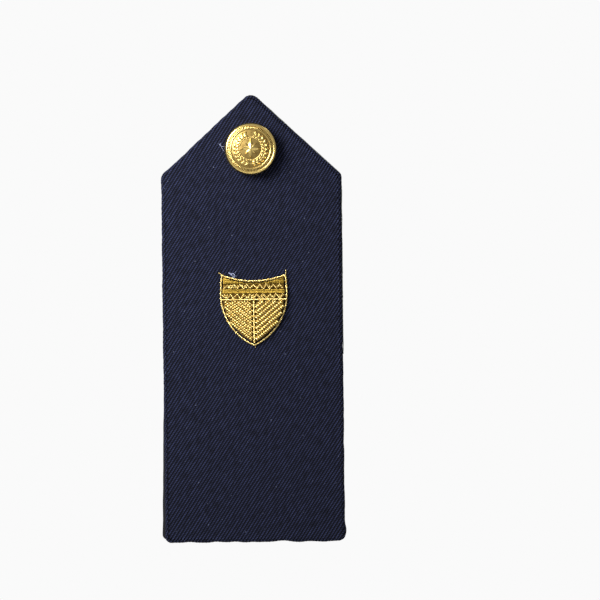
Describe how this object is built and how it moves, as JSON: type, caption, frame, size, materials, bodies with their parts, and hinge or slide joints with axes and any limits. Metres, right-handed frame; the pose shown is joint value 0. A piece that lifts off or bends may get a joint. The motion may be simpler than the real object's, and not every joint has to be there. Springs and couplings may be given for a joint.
{
  "type": "hard shoulder board",
  "caption": "Stiff cloth-covered uniform shoulder board with a screw-post button, a gold shield badge and a snap-down leather tongue that holds it to a coat.",
  "frame": {"origin": "on the axis of the button's screw post, in the plane where the board's back meets the coat", "axes": "+Z along the board towards its point, +Y out of the back towards the coat, +X to the right seen from the front"},
  "size_m": [0.0577, 0.0129, 0.142],
  "materials": {
    "navy_twill": "wool and polyester gabardine twill, matt with a faint sheen",
    "black_lining": "woven polyester lining, low sheen",
    "grey_board": "pressed fibre board, matt",
    "white_foam": "needle felt padding, matt",
    "black_leather": "finished cowhide, semi-matt",
    "black_thread": "bonded nylon thread, semi-gloss",
    "gilt_brass": "stamped brass with bright gilt plate",
    "plain_brass": "turned brass, satin",
    "nickel_plate": "nickel-plated brass, satin",
    "black_enamel": "black baked enamel on brass, semi-gloss",
    "bronze_wire": "spring bronze wire, drawn",
    "straw_card": "pressed card, matt",
    "gold_bullion": "gilt wire coil, bright",
    "gold_thread": "metallised yarn, glossy",
    "yellow_felt": "dyed wool felt, matt"
  },
  "bodies": {
    "board": {"stiffener_board": "grey_board", "padding_sheet": "white_foam", "twill_cover": "navy_twill", "backing_lining": "black_lining", "post_eyelet": "plain_brass", "eyelet_washer": "plain_brass", "strap_sewn_end": "black_leather", "strap_stitches": "black_thread", "snap_stud": "nickel_plate", "snap_rivet": "nickel_plate", "shield_padding": "yellow_felt", "shield_border_cord": "gold_thread", "shield_divider_cord": "gold_thread", "shield_spine_cord": "gold_thread", "shield_field_purls": "gold_bullion", "shield_smooth_bands": "gold_thread", "shield_zigzag_purls": "gold_bullion"},
    "tongue": {"tongue_strap": "black_leather", "snap_socket": "nickel_plate", "snap_spring": "bronze_wire", "snap_cap": "black_enamel"},
    "button": {"button_face": "gilt_brass", "button_back": "gilt_brass", "button_post": "plain_brass", "button_filler": "straw_card"},
    "nut_washer": {"nut_washer": "nickel_plate"},
    "thumb_nut": {"thumb_nut": "nickel_plate"}
  },
  "joints": [
    {"name": "tongue_swing", "type": "hinge", "parent": "board", "child": "tongue", "pos_m": [0, 0.0008, -0.1015], "axis": [-1, 0, 0], "range_deg": [0, 75]},
    {"name": "button_turn", "type": "hinge", "parent": "board", "child": "button", "pos_m": [0, 0, 0], "axis": [0, 1, 0], "continuous": true},
    {"name": "washer_travel", "type": "slide", "parent": "button", "child": "nut_washer", "axis": [0, 1, 0], "range_m": [0, 0.0064]},
    {"name": "nut_turn", "type": "hinge", "parent": "nut_washer", "child": "thumb_nut", "pos_m": [0, 0, 0], "axis": [0, -1, 0], "range_deg": [0, 2880]}
  ],
  "couplings": [
    {"joint": "washer_travel", "follows": "nut_turn", "m_per_rad": 0.00012637}
  ]
}
